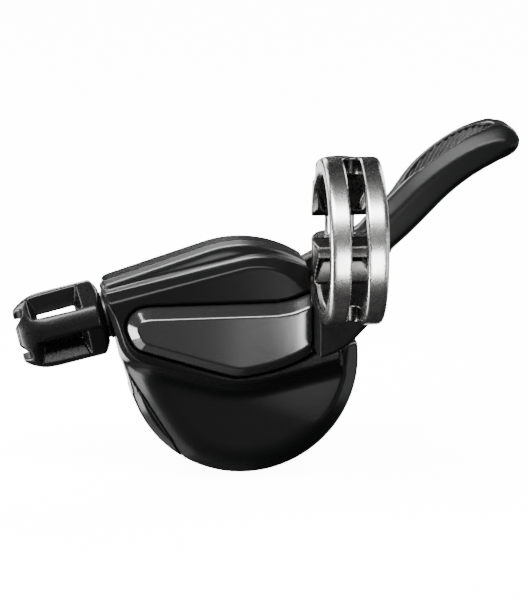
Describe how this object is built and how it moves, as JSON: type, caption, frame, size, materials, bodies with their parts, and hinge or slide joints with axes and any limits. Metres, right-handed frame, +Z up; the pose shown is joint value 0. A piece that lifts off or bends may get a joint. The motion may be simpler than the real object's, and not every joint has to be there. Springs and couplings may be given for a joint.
{
  "type": "bicycle thumb shifter",
  "caption": "Handlebar thumb shifter: slotted clamp band, black drop-shaped case with a raised blank plate, ribbed thumb lever and windowed barrel adjuster on the cable end.",
  "frame": {"origin": "centre of the handlebar clamp bore", "axes": "+X along the handlebar towards the grip, +Z up, -Y towards the cover side, as the shifter lies with its lever pointing up and to the right"},
  "size_m": [0.088, 0.0585, 0.0572],
  "materials": {
    "band": "satin anodised",
    "bolt": "polished dark steel",
    "bracket_metal": "satin black anodised",
    "cover_plastic": "satin black",
    "case_plastic": "satin black",
    "plate_metal": "satin dark grey",
    "steel": "plain",
    "spring_steel": "plain",
    "drum_plastic": "plain",
    "lever_metal": "satin black anodised",
    "pad_rubber": "matte ribbed",
    "adjuster_metal": "satin black anodised",
    "tube_metal": "plain",
    "plug_rubber": "matte"
  },
  "bodies": {
    "shifter_body": {"clamp_band": "band", "clamp_bolt": "bolt", "foot_screw": "steel", "bracket": "bracket_metal", "rear_case": "case_plastic", "front_cover": "cover_plastic", "name_plate": "plate_metal", "cover_screws": "steel", "cable_port_plug": "plug_rubber", "support_plate": "steel", "plate_posts": "steel", "bracket_screws": "steel", "main_axle": "steel", "axle_washer": "steel", "axle_nut": "steel", "hold_pawl_pin": "steel", "nose_insert": "bracket_metal", "drum_spring": "spring_steel", "hold_pawl_spring": "spring_steel", "lever_spring": "spring_steel"},
    "lever": {"thumb_lever": "lever_metal", "thumb_pad": "pad_rubber", "drive_sleeve": "steel", "drive_plate": "steel", "drive_pawl_pin": "steel", "drive_pawl_spring": "spring_steel"},
    "drum": {"cable_drum": "drum_plastic", "ratchet_plate": "steel"},
    "drive_pawl_body": {"drive_pawl": "steel"},
    "hold_pawl_body": {"hold_pawl": "steel"},
    "adjuster_carrier": {"click_ring": "steel"},
    "adjuster": {"adjuster_barrel": "adjuster_metal", "adjuster_bolt": "tube_metal"}
  },
  "joints": [
    {"name": "lever_swing", "type": "hinge", "parent": "shifter_body", "child": "lever", "pos_m": [-0.01599, 0.0235, -0.02356], "axis": [0, 1, 0], "range_deg": [0, 28], "stiffness_Nm_per_rad": 0.06, "springref_deg": -34.38, "deforming": ["lever_spring"]},
    {"name": "drum_turn", "type": "hinge", "parent": "shifter_body", "child": "drum", "pos_m": [-0.01599, 0.0235, -0.02356], "axis": [0, 1, 0], "range_deg": [0, 28], "deforming": ["drum_spring"]},
    {"name": "hold_pawl_swing", "type": "hinge", "parent": "shifter_body", "child": "hold_pawl_body", "pos_m": [-0.00618, 0.0235, -0.03239], "axis": [0, 1, 0], "range_deg": [-11.5, 0], "deforming": ["hold_pawl_spring"]},
    {"name": "drive_pawl_swing", "type": "hinge", "parent": "lever", "child": "drive_pawl_body", "pos_m": [-0.02333, 0.0235, -0.03405], "axis": [0, 1, 0], "range_deg": [-10, 0], "stiffness_Nm_per_rad": 0.002, "springref_deg": 28.65, "deforming": ["drive_pawl_spring"]},
    {"name": "adjuster_travel", "type": "slide", "parent": "shifter_body", "child": "adjuster_carrier", "axis": [-0.9736, 0, -0.2284], "range_m": [0, 0.0024]},
    {"name": "adjuster_turn", "type": "hinge", "parent": "adjuster_carrier", "child": "adjuster", "pos_m": [-0.04326, 0.0205, -0.0169], "axis": [-0.9736, 0, -0.2284], "range_deg": [0, 1080]}
  ],
  "couplings": [
    {"joint": "drum_turn", "follows": "lever_swing", "ratio": 1},
    {"joint": "hold_pawl_swing", "follows": "lever_swing", "ratio": -0.41},
    {"joint": "adjuster_turn", "follows": "adjuster_travel", "rad_per_m": 7854}
  ]
}
